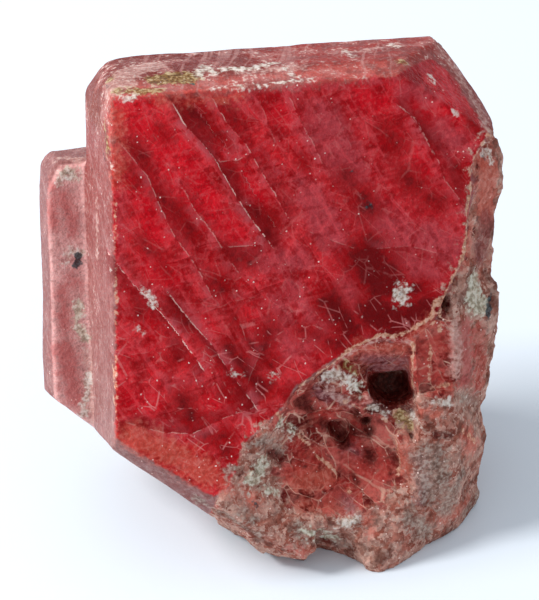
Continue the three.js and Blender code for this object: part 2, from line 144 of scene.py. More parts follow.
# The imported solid's own faces: natural crystal faces and cleavages are the large flat ones, and
# whatever lies in no large plane is broken stone
LARGE_FACE_MM2 = 1.3
SAME_WAY = 0.9995
SAME_PLANE_MM = 0.06
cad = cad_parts["rhodonite"].data
cad.calc_loop_triangles()
cad_points = points_of(cad) * 1000
cad_corners = np.empty(len(cad.loop_triangles) * 3, np.int32)
cad.loop_triangles.foreach_get("vertices", cad_corners)
cad_corners = cad_corners.reshape(-1, 3)
surface = BVHTree.FromPolygons(cad_points.tolist(), cad_corners.tolist())
a, b, c = (cad_points[cad_corners[:, i]] for i in range(3))
face_cross = np.cross(b - a, c - a)
face_area = np.linalg.norm(face_cross, axis=1) / 2
face_normal = face_cross / np.maximum(2 * face_area[:, None], 1e-9)
face_offset = (face_normal * a).sum(1)
crystal_face = np.zeros(len(cad_corners), bool)
large = face_area > LARGE_FACE_MM2
for normal, offset in zip(face_normal[large], face_offset[large]):
    crystal_face |= (face_normal @ normal > SAME_WAY) & (abs(face_offset - offset) < SAME_PLANE_MM)


def seen_at(x, y):
    """The point of the stone, in the crystal's axes, that the photograph shows at a pixel."""
    sideways = (x - PHOTO_WIDTH / 2) * MM_PER_PIXEL / CAMERA_MM
    upwards = (PHOTO_HEIGHT / 2 - y) * MM_PER_PIXEL / CAMERA_MM
    hit = surface.ray_cast(camera_mm, -camera_back + camera_right * sideways + camera_up * upwards)[0]
    if hit is None:
        raise ValueError(f"the stone isn't seen at pixel {x}, {y}")
    return to_crystal(np.array(hit))


def pixels_of(points):
    """Where the photograph shows points given in the row frame."""
    away = points - np.array(camera_mm)
    depth = -(away @ np.array(camera_back)) * MM_PER_PIXEL / CAMERA_MM
    return (away @ np.array(camera_right) / depth + PHOTO_WIDTH / 2,
            PHOTO_HEIGHT / 2 - away @ np.array(camera_up) / depth)


def along(path, points):
    """Each point's distance from a line in mm, its distance to one side of it, and how far past its
    ends it is."""
    path = [seen_at(*pixel) for pixel in path]
    if len(path) == 1:
        far = np.linalg.norm(points - path[0], axis=1)
        return far, far, far
    best = np.full(len(points), np.inf)
    side, past = np.zeros(len(points)), np.zeros(len(points))
    for i, (a, b) in enumerate(zip(path, path[1:])):
        length = np.linalg.norm(b - a)
        t = (points - a) @ (b - a) / length ** 2
        held = np.clip(t, 0, 1)
        far = np.linalg.norm(points - a - held[:, None] * (b - a), axis=1)
        turn = ((b - a)[0] * (points[:, 1] - a[1]) - (b - a)[1] * (points[:, 0] - a[0])) / length
        nearer = far < best
        best = np.where(nearer, far, best)
        off = turn if i in (0, len(path) - 2) else np.sign(turn) * far
        side = np.where(nearer, off, side)
        past = np.where(nearer, np.maximum(np.maximum(-t, t - 1), 0) * length, past)
    return best, side, past


def inside(outline, row_points):
    """Distance in mm from the edge of an outline given in pixels, above 0 inside it."""
    x, y = pixels_of(row_points)
    far = np.full(len(x), np.inf)
    within = np.zeros(len(x), bool)
    for (ax, ay), (bx, by) in zip(outline, outline[1:] + outline[:1]):
        length = (bx - ax) ** 2 + (by - ay) ** 2
        t = np.clip(((x - ax) * (bx - ax) + (y - ay) * (by - ay)) / length, 0, 1)
        far = np.minimum(far, np.hypot(x - ax - t * (bx - ax), y - ay - t * (by - ay)))
        crosses = (ay > y) != (by > y)
        within ^= crosses & (x < ax + (y - ay) * (bx - ax) / (by - ay if by != ay else 1))
    return np.where(within, far, -far) * MM_PER_PIXEL


# Outlines of the kinds of surface, as pixels of the photograph. The right edge and the ridge were read
# there, carried to the crystal's face and back, and so lie a pixel or two from what was read.
RIGHT_EDGE_PX = [(489, 134), (479, 150), (471, 170), (473, 190), (469, 210), (464, 256), (451, 283),
                 (443, 303)]
RIDGE_PX = [(435, 317), (417, 335), (399, 344), (385, 339), (367, 340), (350, 351), (336, 359), (323, 367),
            (310, 378), (296, 387)]
FOOT_PX = [(284, 406), (266, 424), (250, 438), (241, 452), (238, 468), (230, 486)]
BELOW_PX = [(150, 620), (560, 620), (560, 100), (500, 110)]
RED_FACE_PX = [(112, 99), (160, 95), (250, 90), (311, 84), (395, 76), (420, 62), (436, 58), (458, 84),
               (470, 104), (482, 122), *RIGHT_EDGE_PX, *RIDGE_PX, *FOOT_PX, (214, 497), (160, 466),
               (122, 442), (116, 436), (115, 380), (116, 300), (112, 200)]
BROKEN_PX = [*RIGHT_EDGE_PX, *RIDGE_PX, *FOOT_PX, (216, 500), *BELOW_PX]
MATRIX_PX = [*RIGHT_EDGE_PX, (449, 330), (452, 380), (440, 392), (413, 396), (398, 412), (396, 440),
             (400, 480), (380, 505), (345, 512), (325, 514), (300, 508), (282, 500), (276, 470),
             (284, 440), (286, 424), *FOOT_PX[1:], (216, 500), *BELOW_PX]

# Open cleavages in the red face: brightness, the side with the pink veil (1 is the left of the way that
# the line runs, as the crystal's front is seen), then the pixels that each runs along. The first six and
# the one from (256, 407) were carried to the face and back, as the ridge was.
CLEAVAGES_PX = [
    (1.0, -1, [(172, 102), (183, 123), (198, 138), (211, 154), (220, 168), (237, 198), (254, 223),
               (271, 245)]),
    (0.5, -1, [(119, 142), (147, 176), (159, 205), (173, 234), (195, 265), (212, 296)]),
    (1.1, 1, [(114, 260), (128, 278), (145, 296), (157, 309), (178, 334), (189, 349), (202, 367)]),
    (0.8, 1, [(167, 291), (194, 325), (212, 345), (229, 372), (242, 388), (256, 407)]),
    (0.5, -1, [(180, 182), (195, 211), (211, 231), (223, 250), (237, 271)]),
    (0.6, -1, [(212, 98), (226, 122), (245, 143), (259, 168), (274, 193), (289, 219)]),
    (0.4, -1, [(261, 104), (274, 140)]),
    (0.45, -1, [(290, 99), (303, 126), (315, 147), (324, 168)]),
    (0.35, -1, [(331, 104), (353, 150)]),
    (0.6, -1, [(400, 107), (415, 119), (425, 136), (431, 150)]),
    (0.5, -1, [(412, 118), (422, 133), (432, 150), (439, 163), (445, 181), (457, 195), (466, 212)]),
    (0.6, 1, [(256, 407), (217, 421), (193, 434), (164, 433), (130, 424)]),
    (0.5, 1, [(221, 247), (259, 245)]),
    (0.3, 1, [(118, 284), (140, 289), (170, 295)]),
    (0.3, 1, [(118, 380), (150, 383), (200, 375)]),
    (0.5, -1, [(250, 154), (236, 160), (222, 161)]),
    (0.4, 1, [(223, 202), (252, 205)]),
    (0.35, -1, [(262, 350), (250, 375), (246, 392)]),
    (0.35, 1, [(286, 262), (300, 290), (296, 322)]),
    (0.35, 1, [(205, 312), (236, 300), (260, 296)]),
    (0.4, 1, [(310, 232), (360, 250), (410, 246), (450, 256)]),
    (0.35, 1, [(116, 356), (150, 352), (176, 344)]),
]

# Patches on the stone: radius in mm, then the pixels that each runs along
PATCHES_PX = {
    "deep": [
        (0.9, [(190, 110), (206, 122)]), (0.6, [(212, 132), (222, 138)]),
        (0.45, [(226, 106), (236, 122)]), (0.45, [(160, 130), (166, 138)]),
        (0.5, [(136, 150), (146, 162)]), (0.5, [(158, 190), (168, 206)]), (0.7, [(176, 208), (192, 230)]),
        (0.8, [(258, 212), (270, 222), (264, 238)]), (0.4, [(228, 168), (236, 178)]),
        (0.3, [(154, 252), (170, 275)]), (0.6, [(216, 282), (226, 290)]), (0.6, [(228, 254), (250, 262)]),
        (0.55, [(164, 308), (186, 322)]), (0.4, [(232, 312), (246, 338)]),
        (0.7, [(252, 346), (272, 366)]), (0.7, [(250, 372), (266, 386)]), (0.7, [(292, 392), (304, 400)]),
        (0.5, [(138, 313)]), (0.7, [(176, 358)]), (0.9, [(182, 400), (192, 416)]),
        (0.4, [(234, 400), (224, 392)]), (0.6, [(386, 128), (396, 146)]), (0.7, [(406, 176), (416, 186)]),
        (0.6, [(428, 198), (442, 202)]), (0.5, [(458, 170), (462, 180)]), (0.6, [(345, 176), (356, 190)]),
        (1.8, [(366, 256), (384, 284)]), (1.7, [(374, 312), (400, 324), (424, 312)]),
        (0.9, [(386, 296), (420, 290)]), (0.5, [(428, 302), (438, 304)]), (0.8, [(330, 342), (350, 346)]),
        (0.6, [(200, 432), (226, 438)]), (0.5, [(212, 440), (230, 452)]), (0.5, [(300, 330), (320, 336)]),
        (0.5, [(470, 118), (478, 128)]), (0.4, [(140, 240), (150, 252)]), (0.5, [(294, 394), (302, 386)]),
        (0.4, [(222, 452), (230, 456)]), (0.9, [(362, 196), (370, 210)]), (0.5, [(344, 172), (352, 178)]),
        (0.8, [(270, 330), (262, 350)]), (1.0, [(230, 350), (262, 392)]), (1.2, [(330, 300), (350, 330)]),
        (0.5, [(130, 168), (140, 182)]), (0.3, [(300, 156), (306, 166)]),
    ],
    "black": [
        (0.32, [(78, 258), (77, 262)]), (0.1, [(80, 275)]), (0.22, [(490, 292), (487, 318)]),
        (0.12, [(251, 501), (256, 504)]), (0.11, [(402, 292)]), (0.1, [(251, 66)]),
        (0.16, [(104, 83), (105, 86)]), (0.1, [(366, 200), (369, 206)]), (0.06, [(352, 172)]),
        (0.06, [(68, 215)]), (0.06, [(92, 170)]), (0.06, [(484, 159)]), (0.08, [(103, 152), (105, 162)]),
        (0.1, [(186, 80)]), (0.08, [(192, 84)]),
    ],
    "dark": [
        # The first two are painted shade on the floor of the hollow at the lower right
        (1.5, [(374, 394), (404, 396)]), (0.9, [(378, 381), (402, 383)]), (0.5, [(340, 437), (346, 442)]),
        (0.45, [(352, 430), (368, 432)]), (0.35, [(358, 412), (366, 420)]),
        (0.4, [(322, 424), (332, 430)]), (0.3, [(322, 540), (332, 544)]), (0.5, [(300, 400), (310, 410)]),
        (0.4, [(368, 450), (372, 460)]), (0.35, [(270, 452), (280, 460)]),
        (0.3, [(436, 436), (450, 434)]), (0.2, [(352, 474), (356, 484)]),
        (0.25, [(390, 452), (396, 460)]),
    ],
    "red": [
        (0.9, [(424, 350), (440, 348)]), (0.7, [(422, 372), (440, 374)]), (0.8, [(348, 462), (372, 474)]),
        (0.7, [(372, 484), (384, 470)]), (0.5, [(316, 410), (336, 414)]), (0.6, [(296, 446), (304, 458)]),
        (0.7, [(330, 494), (346, 486)]), (0.5, [(446, 392), (452, 386)]),
        (0.25, [(292, 548), (302, 552)]), (0.8, [(478, 334), (480, 366), (476, 392)]),
        (0.6, [(290, 470), (340, 446)]), (0.6, [(352, 440), (386, 462)]), (0.5, [(430, 352), (426, 376)]),
    ],
    "bright": [
        (1.6, [(168, 150), (190, 190), (204, 210)]), (1.2, [(140, 188), (158, 232)]),
        (1.0, [(226, 224), (242, 240)]), (0.8, [(244, 178), (262, 200)]), (0.9, [(400, 96), (414, 112)]),
        (0.6, [(422, 150), (432, 172)]), (0.4, [(205, 322), (210, 326)]), (1.0, [(140, 118), (156, 130)]),
        (0.5, [(138, 352), (150, 350)]), (0.6, [(448, 312), (456, 300)]), (0.8, [(280, 112), (300, 118)]),
        (0.8, [(130, 400), (150, 404)]), (0.8, [(360, 100), (380, 104)]), (1.2, [(440, 86), (458, 112)]),
        (0.8, [(150, 262), (176, 284)]), (0.7, [(216, 400), (230, 412)]),
    ],
    "haze": [
        (0.6, [(193, 130), (212, 152)]), (1.0, [(405, 92), (436, 96)]), (0.8, [(282, 332), (240, 352)]),
        (0.35, [(228, 150), (246, 146)]), (1.2, [(262, 262), (300, 258)]),
        (1.8, [(320, 120), (350, 170)]), (1.6, [(310, 200), (332, 236)]), (1.3, [(440, 130), (462, 146)]),
        (1.2, [(400, 262), (430, 270)]), (0.9, [(346, 282), (352, 306)]), (0.5, [(205, 340), (214, 352)]),
        (0.6, [(170, 384), (200, 380)]), (0.5, [(262, 150), (276, 170)]), (0.9, [(290, 282), (310, 320)]),
        (1.0, [(276, 300), (290, 350)]), (0.5, [(150, 428), (190, 430)]), (1.4, [(372, 214), (402, 236)]),
        (1.6, [(430, 236), (452, 250)]), (0.6, [(228, 104), (250, 98)]), (0.5, [(112, 130), (116, 160)]),
        (0.7, [(300, 176), (312, 210)]), (0.4, [(120, 98), (250, 92), (400, 80)]),
        (0.7, [(420, 66), (462, 104)]), (0.8, [(240, 250), (262, 250)]), (0.6, [(118, 200), (120, 260)]),
        (0.9, [(300, 350), (330, 320)]),
    ],
    "salmon": [
        (1.3, [(486, 160), (486, 205)]), (0.8, [(470, 436), (470, 444)]), (0.4, [(470, 232), (464, 262)]),
        (0.5, [(464, 432), (474, 446)]), (0.5, [(404, 440), (404, 476)]), (0.4, [(300, 503), (330, 506)]),
        (0.3, [(366, 516), (370, 530)]), (0.5, [(430, 322), (410, 340)]), (0.3, [(440, 520), (470, 500)]),
        (0.6, [(356, 350), (400, 346)]), (1.0, [(132, 436), (168, 452), (206, 474)]),
        (0.9, [(300, 478), (328, 478)]), (0.4, [(118, 116), (117, 180)]), (0.4, [(426, 410), (436, 414)]),
        (0.3, [(160, 100), (240, 97)]), (0.6, [(216, 478), (250, 500)]),
    ],
    "maroon": [
        (1.0, [(485, 224), (482, 254)]), (0.4, [(150, 66), (225, 60)]), (0.4, [(250, 84), (300, 80)]),
        (0.3, [(290, 60), (340, 54)]),
    ],
    "pink": [
        (1.1, [(112, 88), (128, 72), (150, 66)]), (0.35, [(96, 205), (97, 255)]),
        (0.45, [(90, 355), (92, 415)]), (0.3, [(440, 49), (460, 76), (480, 110), (486, 128)]),
        (0.4, [(240, 73), (300, 66)]), (0.3, [(350, 53), (398, 45)]), (0.3, [(60, 158), (78, 160)]),
        (0.4, [(454, 326), (456, 374)]), (0.35, [(326, 390), (352, 408)]),
        (0.25, [(386, 414), (376, 404), (366, 398)]),
        (0.12, [(304, 384), (325, 369), (350, 353), (380, 341), (406, 342)]),
    ],
    "mauve": [
        (0.6, [(376, 367), (404, 370)]), (0.5, [(366, 358), (404, 360)]), (0.5, [(320, 392), (332, 396)]),
        (0.5, [(348, 446), (356, 452)]), (0.5, [(346, 500), (352, 510)]), (0.5, [(420, 460), (424, 500)]),
    ],
    "rose": [
        (0.8, [(64, 350), (76, 400)]), (0.4, [(52, 185), (54, 225)]), (0.6, [(64, 196), (72, 228)]),
        (0.5, [(62, 290), (66, 330)]), (0.3, [(70, 275), (78, 285)]), (0.8, [(464, 330), (466, 378)]),
    ],
    "grey": [
        (1.3, [(430, 458), (434, 490)]), (0.7, [(446, 508), (460, 480)]), (0.5, [(300, 530), (340, 540)]),
        (0.5, [(262, 440), (280, 450)]), (0.7, [(410, 516), (424, 530)]), (0.4, [(228, 470), (250, 520)]),
        (0.4, [(464, 398), (476, 400)]), (0.5, [(466, 512), (478, 494)]), (0.3, [(196, 498), (260, 534)]),
    ],
    "white": [
        (0.3, [(197, 76), (204, 66), (214, 72)]), (0.3, [(222, 68), (238, 69), (258, 67), (272, 63)]),
        (0.14, [(345, 50), (352, 56)]), (0.12, [(391, 45), (398, 48)]), (0.16, [(430, 77), (433, 82)]),
        (0.12, [(454, 110), (458, 113)]), (0.1, [(442, 90)]), (0.55, [(401, 291), (402, 297)]),
        (0.22, [(146, 292), (155, 304)]), (0.1, [(139, 330)]), (0.25, [(88, 374), (87, 395), (83, 414)]),
        (0.1, [(229, 370), (238, 375)]), (0.08, [(272, 376)]),
        (0.45, [(328, 373), (344, 378), (354, 386)]), (0.2, [(372, 406), (384, 414)]),
        (0.4, [(342, 524), (354, 522)]), (0.4, [(485, 150), (490, 156)]), (0.2, [(432, 400), (446, 402)]),
        (0.25, [(60, 180), (70, 176)]), (0.25, [(66, 262), (72, 250), (82, 254)]), (0.08, [(112, 274)]),
        (0.08, [(111, 164)]), (0.1, [(120, 99), (134, 95)]), (0.1, [(216, 88), (262, 84), (310, 79)]),
        (0.1, [(420, 424), (414, 416)]), (0.07, [(276, 62), (290, 72), (304, 80)]),
        (0.2, [(280, 428), (290, 434)]),
    ],
    "green": [
        (0.8, [(474, 280), (472, 300), (480, 304)]), (0.35, [(79, 306), (77, 322), (83, 338)]),
        (0.6, [(262, 462), (254, 480)]), (0.4, [(306, 532), (332, 537)]),
        (0.35, [(280, 425), (292, 430)]), (0.2, [(255, 484), (275, 494)]), (0.3, [(66, 172), (76, 176)]),
        (0.3, [(350, 380), (360, 392)]),
    ],
    "olive": [
        (0.85, [(158, 80), (176, 77), (190, 78)]), (0.4, [(118, 90), (140, 91), (160, 90)]),
        (0.22, [(104, 124), (108, 150)]), (0.12, [(400, 62), (406, 62)]), (0.2, [(108, 80), (110, 76)]),
        (0.35, [(400, 416), (412, 426)]), (0.2, [(344, 366), (356, 372)]),
    ],
    "tan": [
        (0.12, [(113, 366), (114, 386)]), (0.2, [(455, 282), (444, 304), (432, 322)]),
        (0.14, [(439, 300), (440, 330)]), (0.3, [(396, 412), (410, 424)]),
        (0.2, [(460, 430), (474, 440)]), (0.08, [(113, 396), (115, 410)]),
        (0.13, [(398, 432), (398, 474)]), (0.14, [(413, 344), (413, 384)]),
        (0.13, [(345, 402), (366, 408), (386, 420)]),
        (0.15, [(300, 386), (325, 369), (340, 358), (352, 347), (366, 342), (380, 334), (394, 336),
               (410, 330), (432, 317)]), (0.16, RIGHT_EDGE_PX), (0.14, [(462, 262), (466, 240)]),
        (0.12, [(436, 300), (430, 318)]),
        (0.12, [(277, 414), (300, 436), (318, 456), (335, 470), (350, 492)]),
        (0.1, [(472, 176), (478, 152)]), (0.06, [(115, 200), (116, 300), (116, 420)]),
        (0.11, [(430, 346), (430, 380)]), (0.13, [(416, 392), (450, 384)]),
    ],
}

# An even mesh over the whole solid, which also rounds its edges a little, as on the worn real one
solid = cad.copy()
solid.transform(Matrix.Scale(1000, 4))
shell = bpy.data.objects.new("shell", solid)
bpy.context.scene.collection.objects.link(shell)
remesh = shell.modifiers.new("even", "REMESH")
remesh.mode = "VOXEL"
remesh.voxel_size = MESH_MM
even = bpy.data.meshes.new_from_object(shell.evaluated_get(bpy.context.evaluated_depsgraph_get()))
bpy.data.objects.remove(shell)

row_mm = points_of(even)
normals = points_of(even, "normal")
uvw = to_crystal(row_mm)
nearest = [surface.find_nearest(p)[2] for p in row_mm.tolist()]
on_crystal = crystal_face[nearest].astype(float)
pairs = np.empty(len(even.edges) * 2, np.int32)
even.edges.foreach_get("vertices", pairs)
ends = pairs.reshape(-1, 2)
ends = np.concatenate([ends, ends[:, ::-1]])
neighbours = np.bincount(ends[:, 0], minlength=len(uvw))


def averaged(values, rounds, share=0.5):
    """Values on the even mesh, each drawn towards the mean of its neighbours."""
    flat = np.asarray(values, float).reshape(len(uvw), -1).copy()
    for _ in range(rounds):
        mean = np.stack([np.bincount(ends[:, 0], column[ends[:, 1]], len(uvw)) for column in flat.T], 1)
        flat += (mean / neighbours[:, None] - flat) * share
    return flat.reshape(np.shape(values))


# The red reaches a little behind the front face, and further on the upper right bevel, within these
# limits across and up. The photograph's outline of the matrix holds in front, and behind it the matrix is
# wherever the solid has no crystal face.
RED_BACK_MM = -1.7
BEVEL_DEPTH_MM = 2.8
BEVEL_ACROSS_MM = (11.5, 13.5)
BEVEL_UP_MM = (27.5, 30)
BROKEN_BACK_MM = -9
OUTLINE_BACK_MM = -4.5
OUTLINE_FADE_MM = 1.5
OUTSIDE_MM = -3
MOST_MM = 1.5


def kinds_of_surface(row_points, broken_stone):
    """How far each point lies inside the red face, the broken corner and the matrix, in mm."""
    crystal_points = to_crystal(row_points)
    w = crystal_points[:, 2]
    bevel = ramp(crystal_points[:, 0], *BEVEL_ACROSS_MM) * ramp(crystal_points[:, 1], *BEVEL_UP_MM)
    red = np.where(w > RED_BACK_MM - BEVEL_DEPTH_MM * bevel, inside(RED_FACE_PX, row_points), OUTSIDE_MM)
    corner = np.where(w > BROKEN_BACK_MM, inside(BROKEN_PX, row_points), OUTSIDE_MM)
    front = np.clip((w - OUTLINE_BACK_MM) / OUTLINE_FADE_MM, 0, 1)
    outlined = np.clip(inside(MATRIX_PX, row_points), -MOST_MM, MOST_MM)
    matrix = broken_stone * (1 - front) + outlined * front
    return red, corner, matrix


# The top left corner is the most worn
CORNER_PX = (104, 72)
CORNER_MM = 3.0
CORNER_CORE_MM = 0.5
CORNER_REACH = (1, 1, 0.3)
EDGE_ROUNDS, WORN_ROUNDS = 2, 60
from_corner = np.linalg.norm((uvw - seen_at(*CORNER_PX)) * CORNER_REACH, axis=1)
worn = ramp(from_corner, CORNER_MM, CORNER_CORE_MM)[:, None]
smooth = averaged(row_mm, EDGE_ROUNDS) * (1 - worn) + averaged(row_mm, WORN_ROUNDS) * worn

# Where the stone is broken, in mm from the border of a crystal face. The second crystal's top edges are
# whole, though their faces are small.
BORDER_ROUNDS = 14
BORDER_GAIN = 3
SECOND_RIGHT_MM = -8.2
SECOND_TOP_MM = (20, 24)
SECOND_WHOLE_MM = 3
broken_stone = np.clip((0.5 - averaged(on_crystal, BORDER_ROUNDS)) * BORDER_GAIN, -MOST_MM, MOST_MM)
broken_stone -= SECOND_WHOLE_MM * (uvw[:, 0] < SECOND_RIGHT_MM) * ramp(uvw[:, 1], *SECOND_TOP_MM)
red, corner, matrix = kinds_of_surface(row_mm, broken_stone)
MATRIX_BLEND_MM = (-0.25, 0.35)
BROKEN_BLEND_MM = (-0.1, 0.3)
matrix_share = ramp(matrix, *MATRIX_BLEND_MM)
corner_share = ramp(corner, *BROKEN_BLEND_MM) * (1 - matrix_share)
face_share = (1 - matrix_share) * (1 - corner_share)

# Each open cleavage is a shallow groove with a low ledge on its veiled side
LEDGE_MM = 0.04
LEDGE_WIDE_MM = 0.8
GROOVE_WIDE_MM = 0.1
CLEAVAGE_END_MM = 0.6
CLEAVAGE_BACK_MM = -1.5


def on_cleavage(past, points):
    """1 along an open cleavage, fading out past its ends, and 0 behind the front face."""
    return ramp(-past, -CLEAVAGE_END_MM, 0.0) * (points[:, 2] > CLEAVAGE_BACK_MM)


steps = np.zeros(len(uvw))
for bright, veil_side, line in CLEAVAGES_PX:
    far, side, past = along(line, uvw)
    side = side * veil_side
    ledge = LEDGE_MM * np.exp(-np.maximum(side, 0) / LEDGE_WIDE_MM) * (side > 0)
    groove = LEDGE_MM * np.exp(-(side / GROOVE_WIDE_MM) ** 2)
    steps += bright * on_cleavage(past, uvw) * (ledge - groove)

# The relief of each kind of surface. The factors are heights in mm, and the foot stays flat.
FLAT_FOOT_MM = (0.05, 0.8)
crooked = uvw + 0.3 * waves(uvw, size=0.9, seed=21)[:, None]
near, slant = grains(crooked, size=1.3, seed=31)
small_near, small_slant = grains(uvw, size=0.6, seed=51)
face_relief = (0.05 * waves(uvw, size=3.1, seed=1) + 0.03 * waves(uvw * (1, 0.5, 1), size=1.1, seed=2)
               + 0.012 * waves(uvw, size=0.42, seed=3) + steps)
corner_relief = (0.22 * slant + 0.04 * small_slant + 0.12 * waves(uvw, size=1.7, seed=4)
                 + 0.02 * waves(uvw, size=0.45, seed=6))
matrix_relief = (0.24 * slant + 0.12 * (0.5 - near) + 0.10 * small_slant + 0.08 * (0.5 - small_near)
                 + 0.18 * waves(uvw, size=2.6, seed=11) + 0.05 * waves(uvw, size=0.45, seed=12))
relief = face_relief * face_share + corner_relief * corner_share + matrix_relief * matrix_share
relief *= ramp(row_mm[:, 2], *FLAT_FOOT_MM)
shaped = smooth + normals * relief[:, None]
shaped[:, 2] = np.maximum(shaped[:, 2], 0)
even.vertices.foreach_set("co", (shaped / 1000).astype(np.float32).ravel())
even.update()

# Fewer points where the surface is turned from the photograph, since its finest detail is in front
TURNED_AWAY = -0.05
THIN_BEHIND = 10
stone = bpy.data.objects.new("rhodonite_stone", even)
bpy.context.scene.collection.objects.link(stone)
behind = stone.vertex_groups.new(name="behind")
behind.add(np.nonzero(normals @ np.array(camera_back) < TURNED_AWAY)[0].tolist(), 1.0, "REPLACE")
thinned = stone.modifiers.new("thinned", "DECIMATE")
thinned.ratio = KEPT_SHARE
thinned.vertex_group = "behind"
thinned.vertex_group_factor = THIN_BEHIND
stone_mesh = bpy.data.meshes.new_from_object(stone.evaluated_get(bpy.context.evaluated_depsgraph_get()))
stone.modifiers.clear()
stone.vertex_groups.clear()
stone_mesh.name = "rhodonite_stone"
stone.data = stone_mesh
stone_mesh.polygons.foreach_set("use_smooth", np.ones(len(stone_mesh.polygons), bool))

# What its material reads from each point of the final mesh
row_mm = points_of(stone_mesh) * 1000
closest = KDTree(len(uvw))
for number, point in enumerate(shaped.tolist()):
    closest.insert(point, number)
closest.balance()
same = np.array([closest.find(p)[1] for p in row_mm.tolist()])
uvw = to_crystal(row_mm)
red, corner, matrix = kinds_of_surface(row_mm, broken_stone[same])
# The red face fades softly into the top, left of the upper right bevel
FADE_UP_MM = (30.5, 33)
FADE_RIGHT_MM = 11
FADE_SHARE = 0.7
red = red * (1 - FADE_SHARE * ramp(uvw[:, 1], *FADE_UP_MM) * (uvw[:, 0] < FADE_RIGHT_MM))
kept = {"crystal_mm": uvw, "red_face": red, "broken_corner": corner, "matrix": matrix,
        "underside": -points_of(stone_mesh, "normal")[:, 2]}
for name, patches in PATCHES_PX.items():
    kept[name] = np.max([radius - along(line, uvw)[0] for radius, line in patches], 0)
# A point can hold one cleavage in each layer, and every fifth cleavage goes into the same one. A layer
# keeps the distance to the veiled side, the brightness, and how far past the ends the point lies.
CLEAVAGE_LAYERS = 5
NOWHERE_MM = 9.0
CLEAVAGE_REACH_MM = (1.8, 1.2)
for number in range(CLEAVAGE_LAYERS):
    layer = np.full((len(uvw), 3), (NOWHERE_MM, 0.0, 0.0))
    closest_yet = np.full(len(uvw), NOWHERE_MM)
    for order in range(number, len(CLEAVAGES_PX), CLEAVAGE_LAYERS):
        bright, veil_side, line = CLEAVAGES_PX[order]
        far, side, past = along(line, uvw)
        fade = on_cleavage(past, uvw) * ramp(far, *CLEAVAGE_REACH_MM)
        nearer = far < closest_yet
        layer[nearer] = np.stack([side * veil_side, bright * fade, past], 1)[nearer]
        closest_yet = np.minimum(closest_yet, far)
    kept[f"cleavage_{number + 1}"] = layer
for name, values in kept.items():
    kind, field = ("FLOAT", "value") if values.ndim == 1 else ("FLOAT_VECTOR", "vector")
    if values.ndim == 1:
        values = np.clip(values, OUTSIDE_MM, -OUTSIDE_MM)
    stone_mesh.attributes.new(name, kind, "POINT").data.foreach_set(field, values.astype(np.float32).ravel())

# Rough rhodonite, grown and cleaved, never cut or polished. The clear stone is crimson with pink veils
# along its cleavages. Its grown faces are etched to a frosted mauve-pink, and the matrix is a dull grainy
# mix of pink, salmon, grey and brown.
stone_material = bpy.data.materials.new("rough_rhodonite")
stone_material.use_nodes = True
nodes = stone_material.node_tree
nodes.nodes.clear()
COLOUR = {"data_type": "RGBA", "out": 2}


def linear(code):
    """An sRGB hex colour as linear red, green, blue and alpha."""
    channels = [int(code[i:i + 2], 16) / 255 for i in (1, 3, 5)]
    return tuple(c / 12.92 if c <= 0.04045 else ((c + 0.055) / 1.055) ** 2.4 for c in channels) + (1,)


def add(kind, inputs=None, out=0, **settings):
    """Adds a node with its settings and gives one of its outputs. An input is a value or an output."""
    node = nodes.nodes.new("ShaderNode" + kind)
    for name, value in settings.items():
        setattr(node, name, value)
    for name, value in (inputs or {}).items():
        if isinstance(value, bpy.types.NodeSocket):
            nodes.links.new(value, node.inputs[name])
        else:
            node.inputs[name].default_value = value
    return node.outputs[out] if node.outputs else node


TIMES = {"operation": "MULTIPLY"}
PLUS = {"operation": "MULTIPLY_ADD"}
SOFT = {"interpolation_type": "SMOOTHSTEP"}


def reach(*limits, most=1.0):
    """How far each value has gone from its low to its high limit, from 0 to 1, all multiplied."""
    total = most
    for value, low, high in limits:
        part = add("MapRange", {0: value, 1: low, 2: high}, **SOFT)
        total = add("Math", {0: part, 1: total}, **TIMES)
    return total


def roughened(value, *parts):
    """A value with other values added to it, each times a factor."""
    for part, factor in parts:
        value = add("Math", {0: part, 1: factor, 2: value}, **PLUS)
    return value


def layered(colour, steps):
    """Lays colours over a colour, each by how far a value has gone from its low to its high limit."""
    for value, low, high, share, over in steps:
        over = linear(over) if isinstance(over, str) else over
        colour = add("Mix", {0: reach((value, low, high), most=share), 6: colour, 7: over}, **COLOUR)
    return colour


read = {name: add("Attribute", out="Vector" if values.ndim == 2 else "Fac", attribute_name=name)
        for name, values in kept.items()}
place = read["crystal_mm"]
side_in, height_up, depth_in = (add("SeparateXYZ", {0: place}, out=axis) for axis in range(3))

UNEVEN_GAIN = 10


def uneven(vector, size_mm, detail, roughness):
    """Lumps about size_mm across: a value about 0, mostly within 1 of it."""
    field = add("TexNoise", {"Vector": vector, "Scale": 1 / size_mm, "Detail": detail,
                             "Roughness": roughness})
    return add("Math", {0: field, 1: UNEVEN_GAIN, 2: -UNEVEN_GAIN / 2}, **PLUS)


def displaced(size_mm, by_mm, detail):
    """The place of each point, moved about by by_mm in lumps about size_mm across."""
    way = add("TexNoise", {"Vector": place, "Scale": 1 / size_mm, "Detail": detail}, out=1)
    way = add("VectorMath", {0: way, 1: (0.5, 0.5, 0.5)}, operation="SUBTRACT")
    return add("VectorMath", {0: way, 1: (by_mm, by_mm, by_mm), 2: place}, operation="MULTIPLY_ADD")


# Unevenness at five sizes in mm, from the patches that one sees at a glance to the finest that shows
lumps = {name: uneven(place, size_mm, detail, roughness)
         for name, size_mm, detail, roughness in [("broad", 4.5, 2, 0.5), ("mottle", 1.7, 3, 0.5),
                                                  ("ragged", 0.7, 3, 0.6), ("crumb", 0.3, 2, 0.5),
                                                  ("dust", 0.14, 1, 0.5)]}

